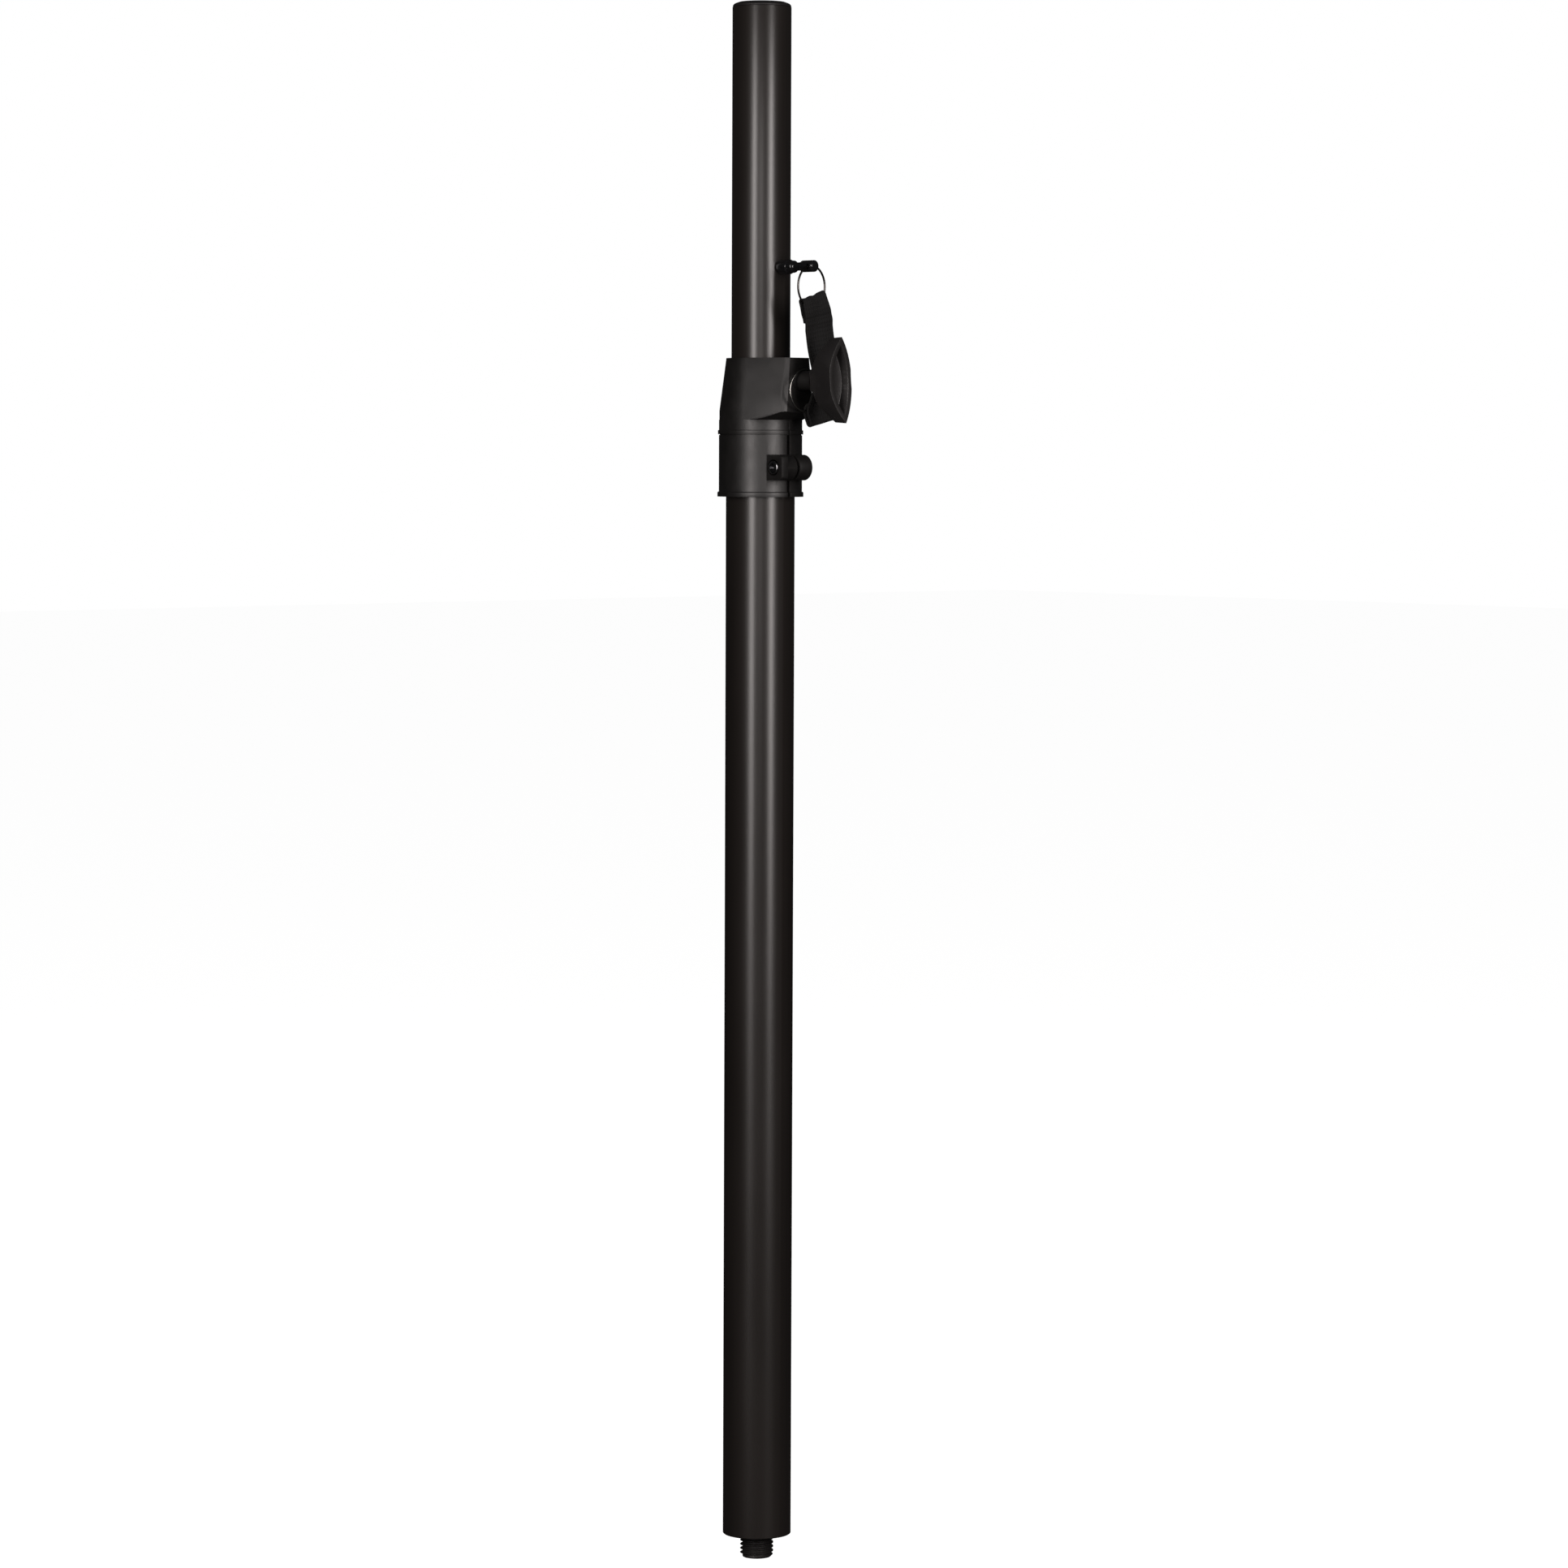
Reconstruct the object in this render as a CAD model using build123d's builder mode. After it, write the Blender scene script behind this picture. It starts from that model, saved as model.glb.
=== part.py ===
"""Telescoping loudspeaker pole with an M20 threaded foot, a clamp collar, a wing knob and a tethered locking pin.

Millimetres. The pole stands along +Z with the tip of the foot thread at z = 0.
+X points out of the wing knob, the locking pin and the slit of the lower clamp.
Every sub-part is built in place and written to parts/.
"""

import math
import os

from build123d import *

os.makedirs("parts", exist_ok=True)

# ---------------------------------------------------------------- driving sizes
TOTAL_HEIGHT = 930.0  # tip of the foot thread to the top of the cap
COLLAR_BOTTOM = 638.0  # foot thread tip to the underside of the collar
COLLAR_HEIGHT = 82.1
SKIRT_HEIGHT = 45.5  # round part of the collar
BLOCK_RISE = 5.5  # sloping underside between the round part and the block

INNER_OD = 35.0
INNER_WALL = 2.0
TUBE_GAP = 1.5  # radial room between the two tubes, filled by the bushes
OUTER_WALL = 1.5

STUD_D = 20.0
STUD_EXPOSED = 14.4
STUD_ENGAGED = 26.0

PIN_ABOVE_COLLAR = 53.5
PIN_D = 6.0
HOLE_PITCH = 80.0
HOLE_COUNT = 7

SCREW_D = 6.0
SCREW_TRAVEL = 3.0  # three turns of a 1 mm pitch thread

CLAMP_BOLT_D = 5.0

# ---------------------------------------------------------------- clearances
FIT_GAP = 0.05  # fixed seat between two parts of one body, on the radius
RUNNING_GAP = 0.08  # sliding or turning fit, on the radius
FREE_GAP = 0.5  # parts that must never touch
HOLE_GAP = 0.25  # locking pin in its cross holes, on the radius

# ---------------------------------------------------------------- derived sizes
INNER_R = INNER_OD / 2
INNER_BORE_R = INNER_R - INNER_WALL
OUTER_BORE_R = INNER_R + TUBE_GAP
OUTER_R = OUTER_BORE_R + OUTER_WALL
TUBE_FOOT = STUD_EXPOSED
COLLAR_TOP = COLLAR_BOTTOM + COLLAR_HEIGHT
BAND_TOP = COLLAR_BOTTOM + SKIRT_HEIGHT
BLOCK_BOTTOM = BAND_TOP + BLOCK_RISE
BUSH_FLANGE = 1.5
OUTER_TOP = BAND_TOP - BUSH_FLANGE
BAND_R = OUTER_R + 4.25
PIN_HEIGHT = COLLAR_TOP + PIN_ABOVE_COLLAR
PIN_HOLE_R = PIN_D / 2 + HOLE_GAP
KNOB_HEIGHT = BLOCK_BOTTOM + 17.6
CLAMP_BOLT_HEIGHT = COLLAR_BOTTOM + 17.4
CLAMP_BOLT_OFFSET = OUTER_R + 5.9
BLOCK_END = OUTER_R + 13.5

# brake line, measured along +X from the pole's axis
PAD_BACK = INNER_R + 7.1
DOG_START = INNER_R + 4.1
DOG_R = SCREW_D / 3
PAD_R = SCREW_D / 2 + 1.42
PAD_BORE_R = PAD_R + RUNNING_GAP
PAD_BORE_END = PAD_BACK + SCREW_TRAVEL + 0.4
INSERT_START = BLOCK_END + 2.0
INSERT_R = SCREW_D / 2 + 1.2
BOSS_R = SCREW_D / 2 + 2.75
BOSS_END = BLOCK_END + 14.5

# ================================================================ fixed outer body

with BuildPart() as outer_tube:
    with BuildSketch(Plane.XY.offset(TUBE_FOOT)):
        Circle(OUTER_R)
        Circle(OUTER_BORE_R, mode=Mode.SUBTRACT)
    extrude(amount=OUTER_TOP - TUBE_FOOT)
    chamfer(outer_tube.edges().filter_by(GeomType.CIRCLE).group_by(Axis.Z)[0], length=0.4)
outer_tube.part.label = "outer_tube"
export_step(outer_tube.part, "parts/outer_tube.step")

# turned plug pressed into the lower end of the outer tube and tapped for the stud
FOOT_PLUG_R = OUTER_BORE_R - FIT_GAP
FOOT_PLUG_LENGTH = 32.0
STUD_R = STUD_D / 2
STUD_ROOT_R = STUD_R - 1.5
FOOT_SHOULDER_R = STUD_R + 0.2
FOOT_SHOULDER_DROP = 0.8
with BuildPart() as foot_plug:
    with BuildSketch(Plane.XY.offset(TUBE_FOOT)):
        Circle(FOOT_PLUG_R)
    extrude(amount=FOOT_PLUG_LENGTH)
    with BuildSketch(Plane.XY.offset(TUBE_FOOT - FOOT_SHOULDER_DROP)):
        Circle(FOOT_SHOULDER_R)
    extrude(amount=FOOT_SHOULDER_DROP)
    with BuildSketch(Plane.XY.offset(TUBE_FOOT - FOOT_SHOULDER_DROP)):
        Circle(STUD_ROOT_R + FIT_GAP)
    extrude(amount=FOOT_SHOULDER_DROP + STUD_ENGAGED + FREE_GAP, mode=Mode.SUBTRACT)
foot_plug.part.label = "foot_plug"
export_step(foot_plug.part, "parts/foot_plug.step")

# M20 stud: its exposed length is a plain cylinder on the major diameter
with BuildPart() as threaded_stud:
    with BuildSketch(Plane.XZ):
        with BuildLine():
            Polyline(
                (0, 0),
                (STUD_R, 0),
                (STUD_R, TUBE_FOOT - FOOT_SHOULDER_DROP - 0.1),
                (STUD_ROOT_R, TUBE_FOOT - FOOT_SHOULDER_DROP - 0.1),
                (STUD_ROOT_R, TUBE_FOOT + STUD_ENGAGED - 1.0),
                (STUD_ROOT_R - 1.0, TUBE_FOOT + STUD_ENGAGED),
                (0, TUBE_FOOT + STUD_ENGAGED),
                close=True,
            )
        make_face()
    revolve(axis=Axis.Z)
threaded_stud.part.label = "threaded_stud"
export_step(threaded_stud.part, "parts/threaded_stud.step")

# soft pad on top of the foot plug; the inner tube lands on it when the pole is closed
BUMPER_BOTTOM = TUBE_FOOT + FOOT_PLUG_LENGTH
BUMPER_THICKNESS = 8.0
with BuildPart() as bump_stop:
    with BuildSketch(Plane.XY.offset(BUMPER_BOTTOM)):
        Circle(OUTER_BORE_R - 0.3)
        Circle(6.0, mode=Mode.SUBTRACT)
    extrude(amount=BUMPER_THICKNESS)
    chamfer(bump_stop.edges().filter_by(GeomType.CIRCLE).group_by(Axis.Z)[-1], length=1.0)
bump_stop.part.label = "bump_stop"
export_step(bump_stop.part, "parts/bump_stop.step")

# ---------------------------------------------------------------- collar housing
CLAMP_BORE_R = OUTER_R + FIT_GAP
GUIDE_BORE_R = INNER_R + FREE_GAP
GUIDE_STEP = OUTER_TOP + BUSH_FLANGE + 0.3
FLANGE_TOP = COLLAR_BOTTOM + 3.0
FLANGE_R = BAND_R + 0.85
BEAD_BOTTOM = BAND_TOP - 8.5
BEAD_TOP = BAND_TOP - 6.0
BEAD_R = BAND_R + 0.6
GROOVE_BOTTOM = BEAD_BOTTOM - 0.5
GROOVE_R = BAND_R - 0.5

BLOCK_LOW_R = OUTER_R + 4.0
BLOCK_LOW_CORNER = (BLOCK_END - 1.8, 13.0)
BLOCK_LOW_END = 9.8
BLOCK_HIGH_R = INNER_R + 3.0
BLOCK_HIGH_CORNER = (BLOCK_END - 2.0, 9.5)
BLOCK_HIGH_END = 7.4

SLIT_WIDTH = 2.2
SEAM_WIDTH = 0.6
SEAM_DEPTH = 0.5
EAR_R = 7.6
EAR_GAP = SLIT_WIDTH / 2
EAR_NEAR = 13.7
EAR_FAR = 10.8
NUT_AF = 8.0
NUT_THICKNESS = 4.0
SCREW_HEAD_D = 8.4


def tear_points(radius, corner):
    """Tangent points of the flat sides of the block on its round back, seen from above."""
    px, py = corner
    reach = math.hypot(px, py)
    angle = math.atan2(py, px) + math.acos(radius / reach)
    return radius * math.cos(angle), radius * math.sin(angle)


with BuildPart() as collar_housing:
    # stepped round skirt: flange, clamp band, groove, bead and upper band
    with BuildSketch(Plane.XZ):
        with BuildLine():
            Polyline(
                (0, COLLAR_BOTTOM),
                (FLANGE_R, COLLAR_BOTTOM),
                (FLANGE_R, FLANGE_TOP - 0.5),
                (FLANGE_R - 0.5, FLANGE_TOP),
                (BAND_R, FLANGE_TOP),
                (BAND_R, GROOVE_BOTTOM),
                (GROOVE_R, GROOVE_BOTTOM),
                (GROOVE_R, BEAD_BOTTOM),
                (BEAD_R, BEAD_BOTTOM),
                (BEAD_R, BEAD_TOP - 0.3),
                (BEAD_R - 0.3, BEAD_TOP),
                (BAND_R, BEAD_TOP),
                (BAND_R, BAND_TOP),
                (0, BAND_TOP),
                close=True,
            )
        make_face()
    revolve(axis=Axis.Z)
    # tapered block with flat sides that run in to the end under the knob
    with BuildSketch(Plane.XY.offset(BAND_TOP)):
        with BuildLine():
            tx, ty = tear_points(BLOCK_LOW_R, BLOCK_LOW_CORNER)
            ThreePointArc((tx, ty), (-BLOCK_LOW_R, 0), (tx, -ty))
            Polyline(
                (tx, -ty),
                (BLOCK_LOW_CORNER[0], -BLOCK_LOW_CORNER[1]),
                (BLOCK_END, -BLOCK_LOW_END),
                (BLOCK_END, BLOCK_LOW_END),
                BLOCK_LOW_CORNER,
                (tx, ty),
            )
        make_face()
    extrude(amount=BLOCK_BOTTOM - BAND_TOP)
    # the underside of the overhang slopes out from the upper band
    with BuildSketch(Plane.XZ):
        with BuildLine():
            Polyline(
                (BAND_R, BAND_TOP),
                (BAND_R + 15.0, BLOCK_BOTTOM + 1.5),
                (BAND_R + 30.0, BLOCK_BOTTOM + 1.5),
                (BAND_R + 30.0, BAND_TOP),
                close=True,
            )
        make_face()
    revolve(axis=Axis.Z, mode=Mode.SUBTRACT)
    with BuildSketch(Plane.XY.offset(BLOCK_BOTTOM)):
        with BuildLine():
            tx, ty = tear_points(BLOCK_LOW_R, BLOCK_LOW_CORNER)
            ThreePointArc((tx, ty), (-BLOCK_LOW_R, 0), (tx, -ty))
            Polyline(
                (tx, -ty),
                (BLOCK_LOW_CORNER[0], -BLOCK_LOW_CORNER[1]),
                (BLOCK_END, -BLOCK_LOW_END),
                (BLOCK_END, BLOCK_LOW_END),
                BLOCK_LOW_CORNER,
                (tx, ty),
            )
        make_face()
    with BuildSketch(Plane.XY.offset(COLLAR_TOP)):
        with BuildLine():
            tx, ty = tear_points(BLOCK_HIGH_R, BLOCK_HIGH_CORNER)
            ThreePointArc((tx, ty), (-BLOCK_HIGH_R, 0), (tx, -ty))
            Polyline(
                (tx, -ty),
                (BLOCK_HIGH_CORNER[0], -BLOCK_HIGH_CORNER[1]),
                (BLOCK_END, -BLOCK_HIGH_END),
                (BLOCK_END, BLOCK_HIGH_END),
                BLOCK_HIGH_CORNER,
                (tx, ty),
            )
        make_face()
    loft(ruled=True)
    # round boss that carries the knob screw
    with BuildSketch(Plane(origin=(INNER_R + 4.0, 0, KNOB_HEIGHT), z_dir=(1, 0, 0))):
        Circle(BOSS_R)
    extrude(amount=BOSS_END - INNER_R - 4.0)
    # two ears of the lower clamp, drawn as one barrel and parted by the slit
    with BuildSketch(Plane(origin=(CLAMP_BOLT_OFFSET, -EAR_NEAR, CLAMP_BOLT_HEIGHT), z_dir=(0, 1, 0))):
        Circle(EAR_R)
    extrude(amount=EAR_NEAR + EAR_FAR)
    with BuildSketch(Plane(origin=(CLAMP_BOLT_OFFSET, -EAR_NEAR, CLAMP_BOLT_HEIGHT), z_dir=(0, 1, 0))):
        RectangleRounded(2 * EAR_R, 2 * EAR_R, 2.6)
    extrude(amount=5.0)
    with BuildSketch(
        Plane(origin=((BAND_R + CLAMP_BOLT_OFFSET) / 2 - 3.0, 0, CLAMP_BOLT_HEIGHT), z_dir=(0, 1, 0))
    ):
        Rectangle(8.0, 2 * EAR_R - 1.0)
    extrude(amount=8.0, both=True)
    # bores: clamp seat on the outer tube, then a wider hole round the inner tube
    with BuildSketch(Plane.XY.offset(COLLAR_BOTTOM)):
        Circle(CLAMP_BORE_R)
    extrude(amount=GUIDE_STEP - COLLAR_BOTTOM, mode=Mode.SUBTRACT)
    with BuildSketch(Plane.XY.offset(COLLAR_BOTTOM)):
        Circle(GUIDE_BORE_R)
    extrude(amount=COLLAR_TOP - COLLAR_BOTTOM, mode=Mode.SUBTRACT)
    # slit of the clamp
    with BuildSketch(Plane.XY.offset(COLLAR_BOTTOM)):
        with Locations((BAND_R - 2.0, 0)):
            Rectangle(30.0, SLIT_WIDTH)
    extrude(amount=GROOVE_BOTTOM - COLLAR_BOTTOM, mode=Mode.SUBTRACT)
    # moulding seam that carries the line of the slit up to the block
    with BuildSketch(Plane.XY.offset(GROOVE_BOTTOM)):
        with Locations((BAND_R - SEAM_DEPTH + 2.0, 0)):
            Rectangle(4.0, SEAM_WIDTH)
    extrude(amount=BAND_TOP - GROOVE_BOTTOM, mode=Mode.SUBTRACT)
    # clamp bolt hole, head recess and nut pocket
    with BuildSketch(Plane(origin=(CLAMP_BOLT_OFFSET, -EAR_NEAR, CLAMP_BOLT_HEIGHT), z_dir=(0, 1, 0))):
        Circle(CLAMP_BOLT_D / 2 + 0.2)
    extrude(amount=EAR_NEAR + EAR_FAR, mode=Mode.SUBTRACT)
    with BuildSketch(Plane(origin=(CLAMP_BOLT_OFFSET, -EAR_NEAR, CLAMP_BOLT_HEIGHT), z_dir=(0, 1, 0))):
        Circle(SCREW_HEAD_D / 2 + 0.6)
    extrude(amount=2.6, mode=Mode.SUBTRACT)
    with BuildSketch(Plane(origin=(CLAMP_BOLT_OFFSET, EAR_FAR, CLAMP_BOLT_HEIGHT), z_dir=(0, -1, 0))):
        RegularPolygon(NUT_AF / 2 + 0.1, 6, major_radius=False)
    extrude(amount=NUT_THICKNESS + 0.4, mode=Mode.SUBTRACT)
    # bores along the knob axis: pad pocket, screw way, seat of the brass insert
    with BuildSketch(Plane(origin=(0, 0, KNOB_HEIGHT), z_dir=(1, 0, 0))):
        Circle(PAD_BORE_R)
    extrude(amount=PAD_BORE_END, mode=Mode.SUBTRACT)
    with BuildSketch(Plane(origin=(0, 0, KNOB_HEIGHT), z_dir=(1, 0, 0))):
        Circle(SCREW_D / 2 + 0.3)
    extrude(amount=BOSS_END, mode=Mode.SUBTRACT)
    with BuildSketch(Plane(origin=(INSERT_START, 0, KNOB_HEIGHT), z_dir=(1, 0, 0))):
        Circle(INSERT_R)
    extrude(amount=BOSS_END - INSERT_START, mode=Mode.SUBTRACT)
collar_housing.part.label = "collar_housing"
export_step(collar_housing.part, "parts/collar_housing.step")

# nylon bush in the mouth of the outer tube; it guides the inner tube
BUSH_LENGTH = 42.0
with BuildPart() as mouth_bush:
    with BuildSketch(Plane.XY.offset(OUTER_TOP - BUSH_LENGTH)):
        Circle(OUTER_BORE_R - FIT_GAP)
    extrude(amount=BUSH_LENGTH)
    with BuildSketch(Plane.XY.offset(OUTER_TOP)):
        Circle(OUTER_R - 0.1)
    extrude(amount=BUSH_FLANGE)
    with BuildSketch(Plane.XY.offset(OUTER_TOP - BUSH_LENGTH)):
        Circle(INNER_R + RUNNING_GAP)
    extrude(amount=BUSH_LENGTH + BUSH_FLANGE, mode=Mode.SUBTRACT)
mouth_bush.part.label = "mouth_bush"
export_step(mouth_bush.part, "parts/mouth_bush.step")

# threaded brass insert in the boss
with BuildPart() as boss_insert:
    with BuildSketch(Plane(origin=(INSERT_START, 0, KNOB_HEIGHT), z_dir=(1, 0, 0))):
        Circle(INSERT_R - FIT_GAP)
        Circle(SCREW_D / 2 + RUNNING_GAP, mode=Mode.SUBTRACT)
    extrude(amount=BOSS_END - INSERT_START - 0.3)
boss_insert.part.label = "boss_insert"
export_step(boss_insert.part, "parts/boss_insert.step")

# lower clamp fastener: pan-head screw, washer and hexagon nut
HEAD_SEAT = -EAR_NEAR + 2.6
with BuildPart() as clamp_bolt:
    with BuildSketch(Plane(origin=(CLAMP_BOLT_OFFSET, HEAD_SEAT - 0.5, CLAMP_BOLT_HEIGHT), z_dir=(0, -1, 0))):
        Circle(SCREW_HEAD_D / 2)
    extrude(amount=2.7)
    fillet(clamp_bolt.edges().filter_by(GeomType.CIRCLE).group_by(Axis.Y)[0], radius=1.3)
    with BuildSketch(Plane(origin=(CLAMP_BOLT_OFFSET, HEAD_SEAT - 3.2, CLAMP_BOLT_HEIGHT), z_dir=(0, 1, 0))):
        Rectangle(4.6, 1.1)
        Rectangle(1.1, 4.6)
    extrude(amount=1.6, mode=Mode.SUBTRACT)
    with BuildSketch(Plane(origin=(CLAMP_BOLT_OFFSET, HEAD_SEAT - 0.5, CLAMP_BOLT_HEIGHT), z_dir=(0, 1, 0))):
        Circle(CLAMP_BOLT_D / 2)
    extrude(amount=EAR_FAR - HEAD_SEAT + 0.5 - 0.4)
clamp_bolt.part.label = "clamp_bolt"
export_step(clamp_bolt.part, "parts/clamp_bolt.step")

with BuildPart() as clamp_washer:
    with BuildSketch(Plane(origin=(CLAMP_BOLT_OFFSET, HEAD_SEAT - 0.5, CLAMP_BOLT_HEIGHT), z_dir=(0, 1, 0))):
        Circle(SCREW_HEAD_D / 2 + 0.35)
        Circle(CLAMP_BOLT_D / 2 + 0.15, mode=Mode.SUBTRACT)
    extrude(amount=0.5)
clamp_washer.part.label = "clamp_washer"
export_step(clamp_washer.part, "parts/clamp_washer.step")

with BuildPart() as clamp_nut:
    with BuildSketch(
        Plane(origin=(CLAMP_BOLT_OFFSET, EAR_FAR - NUT_THICKNESS - 0.4, CLAMP_BOLT_HEIGHT), z_dir=(0, 1, 0))
    ):
        RegularPolygon(NUT_AF / 2, 6, major_radius=False)
        Circle(CLAMP_BOLT_D / 2 + FIT_GAP, mode=Mode.SUBTRACT)
    extrude(amount=NUT_THICKNESS)
clamp_nut.part.label = "clamp_nut"
export_step(clamp_nut.part, "parts/clamp_nut.step")

# ================================================================ sliding mast

MAST_BOTTOM = BUMPER_BOTTOM + BUMPER_THICKNESS + 7.0
CAP_RIM = 3.0
MAST_TOP = TOTAL_HEIGHT - CAP_RIM
MARK_HEIGHT = PIN_HEIGHT + PIN_D / 2 + 2.0
MARK_WIDTH = 1.2
MARK_DEPTH = 0.25
with BuildPart() as inner_tube:
    with BuildSketch(Plane.XY.offset(MAST_BOTTOM)):
        Circle(INNER_R)
        Circle(INNER_BORE_R, mode=Mode.SUBTRACT)
    extrude(amount=MAST_TOP - MAST_BOTTOM)
    # cross holes for the locking pin, through both walls
    for step in range(HOLE_COUNT):
        with BuildSketch(Plane(origin=(0, 0, PIN_HEIGHT - step * HOLE_PITCH), z_dir=(1, 0, 0))):
            Circle(PIN_HOLE_R)
        extrude(amount=INNER_R + 1.0, both=True, mode=Mode.SUBTRACT)
    # shallow line that marks how far a speaker socket comes down the pole
    with BuildSketch(Plane.XY.offset(MARK_HEIGHT)):
        Circle(INNER_R + 1.0)
        Circle(INNER_R - MARK_DEPTH, mode=Mode.SUBTRACT)
    extrude(amount=MARK_WIDTH, mode=Mode.SUBTRACT)
inner_tube.part.label = "inner_tube"
export_step(inner_tube.part, "parts/inner_tube.step")

# chamfered plastic cap in the top of the inner tube
CAP_FLAT_R = INNER_R - 3.9
CAP_INSET = 0.2
CAP_SPIGOT = 22.0
with BuildPart() as top_cap:
    with BuildSketch(Plane.XZ):
        with BuildLine():
            Polyline(
                (0, MAST_TOP + 0.15),
                (INNER_R - CAP_INSET, MAST_TOP + 0.15),
                (INNER_R - CAP_INSET, MAST_TOP + 1.0),
                (INNER_R - 1.2, MAST_TOP + 2.0),
                (CAP_FLAT_R, TOTAL_HEIGHT),
                (0, TOTAL_HEIGHT),
                close=True,
            )
        make_face()
    revolve(axis=Axis.Z)
    with BuildSketch(Plane.XY.offset(MAST_TOP - CAP_SPIGOT)):
        Circle(INNER_BORE_R - FIT_GAP)
        Circle(INNER_BORE_R - 2.0, mode=Mode.SUBTRACT)
    extrude(amount=CAP_SPIGOT + 0.15)
top_cap.part.label = "top_cap"
export_step(top_cap.part, "parts/top_cap.step")

# split nylon sleeve on the lower end of the inner tube
SLEEVE_LENGTH = 46.0
SLEEVE_BOTTOM = MAST_BOTTOM + 4.0
RIVET_HEIGHT = SLEEVE_BOTTOM + SLEEVE_LENGTH / 2
RIVET_R = 2.0
with BuildPart() as lower_bush:
    with BuildSketch(Plane.XY.offset(SLEEVE_BOTTOM)):
        Circle(OUTER_BORE_R - RUNNING_GAP)
        Circle(INNER_R + FIT_GAP, mode=Mode.SUBTRACT)
        with Locations((-INNER_R, 0)):
            Rectangle(6.0, 1.6, mode=Mode.SUBTRACT)
    extrude(amount=SLEEVE_LENGTH)
    with BuildSketch(Plane(origin=(0, 0, RIVET_HEIGHT), z_dir=(0, 1, 0))):
        Circle(RIVET_R + FIT_GAP)
    extrude(amount=OUTER_BORE_R + 1.0, both=True, mode=Mode.SUBTRACT)
lower_bush.part.label = "lower_bush"
export_step(lower_bush.part, "parts/lower_bush.step")

# two nylon pips that hold the sleeve on the tube
with BuildPart() as bush_pips:
    with BuildSketch(Plane(origin=(0, INNER_R + 0.3, RIVET_HEIGHT), z_dir=(0, 1, 0))):
        Circle(RIVET_R)
    extrude(amount=OUTER_BORE_R - INNER_R - 0.3 - 0.35)
    with BuildSketch(Plane(origin=(0, -INNER_R - 0.3, RIVET_HEIGHT), z_dir=(0, -1, 0))):
        Circle(RIVET_R)
    extrude(amount=OUTER_BORE_R - INNER_R - 0.3 - 0.35)
bush_pips.part.label = "bush_pips"
export_step(bush_pips.part, "parts/bush_pips.step")

# plug in the lower end of the inner tube
with BuildPart() as bottom_plug:
    with BuildSketch(Plane.XY.offset(MAST_BOTTOM - 6.0)):
        Circle(INNER_R - 0.6)
    extrude(amount=5.7)
    with BuildSketch(Plane.XY.offset(MAST_BOTTOM - 0.3)):
        Circle(INNER_BORE_R - FIT_GAP)
    extrude(amount=20.0)
    with BuildSketch(Plane.XY.offset(MAST_BOTTOM - 3.0)):
        Circle(INNER_BORE_R - 2.5)
    extrude(amount=30.0, mode=Mode.SUBTRACT)
bottom_plug.part.label = "bottom_plug"
export_step(bottom_plug.part, "parts/bottom_plug.step")

# ================================================================ brake and wing knob

# nylon shoe that the screw pushes against the inner tube
with BuildPart() as brake_pad:
    with BuildSketch(Plane(origin=(INNER_R - 4.0, 0, KNOB_HEIGHT), z_dir=(1, 0, 0))):
        Circle(PAD_R)
    extrude(amount=PAD_BACK - INNER_R + 4.0)
    with BuildSketch(Plane.XY.offset(KNOB_HEIGHT - 10.0)):
        Circle(INNER_R + FIT_GAP)
    extrude(amount=20.0, mode=Mode.SUBTRACT)
    with BuildSketch(Plane(origin=(DOG_START - 0.2, 0, KNOB_HEIGHT), z_dir=(1, 0, 0))):
        Circle(DOG_R + RUNNING_GAP)
    extrude(amount=10.0, mode=Mode.SUBTRACT)
brake_pad.part.label = "brake_pad"
export_step(brake_pad.part, "parts/brake_pad.step")

KNOB_BACK = BOSS_END + 0.7
KNOB_FRONT = KNOB_BACK + 23.6
KNOB_HUB_R = BOSS_R
KNOB_SPAN = 25.2
KNOB_HALF_WIDTH = 8.9
KNOB_RIM_BACK = KNOB_BACK + 14.6
KNOB_LIP = 2.4
KNOB_POCKET = 7.6
KNOB_DISH = 3.1  # the middle of the front rim is set back from its tips
KNOB_REST_TURN = 4.4  # degrees that the wings stand off upright
SCREW_END = KNOB_BACK + 11.8
SCREW_HEX = SCREW_D / 2 + 1.2

with BuildPart() as knob_screw:
    with BuildSketch(Plane(origin=(DOG_START, 0, KNOB_HEIGHT), z_dir=(1, 0, 0))):
        Circle(DOG_R)
    extrude(amount=PAD_BACK + 0.3 - DOG_START)
    with BuildSketch(Plane(origin=(PAD_BACK + 0.3, 0, KNOB_HEIGHT), z_dir=(1, 0, 0))):
        Circle(SCREW_D / 2)
    extrude(amount=SCREW_END - PAD_BACK - 0.3)
    with BuildSketch(Plane(origin=(SCREW_END - 7.0, 0, KNOB_HEIGHT), z_dir=(1, 0, 0))):
        RegularPolygon(SCREW_HEX, 6, major_radius=False)
    extrude(amount=4.0)
knob_screw.part.label = "knob_screw"
export_step(knob_screw.part, "parts/knob_screw.step")


def lens_radius(half_width, half_height):
    """Radius of the two arcs of a pointed oval."""
    return (half_height * half_height + half_width * half_width) / (2 * half_width)


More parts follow.
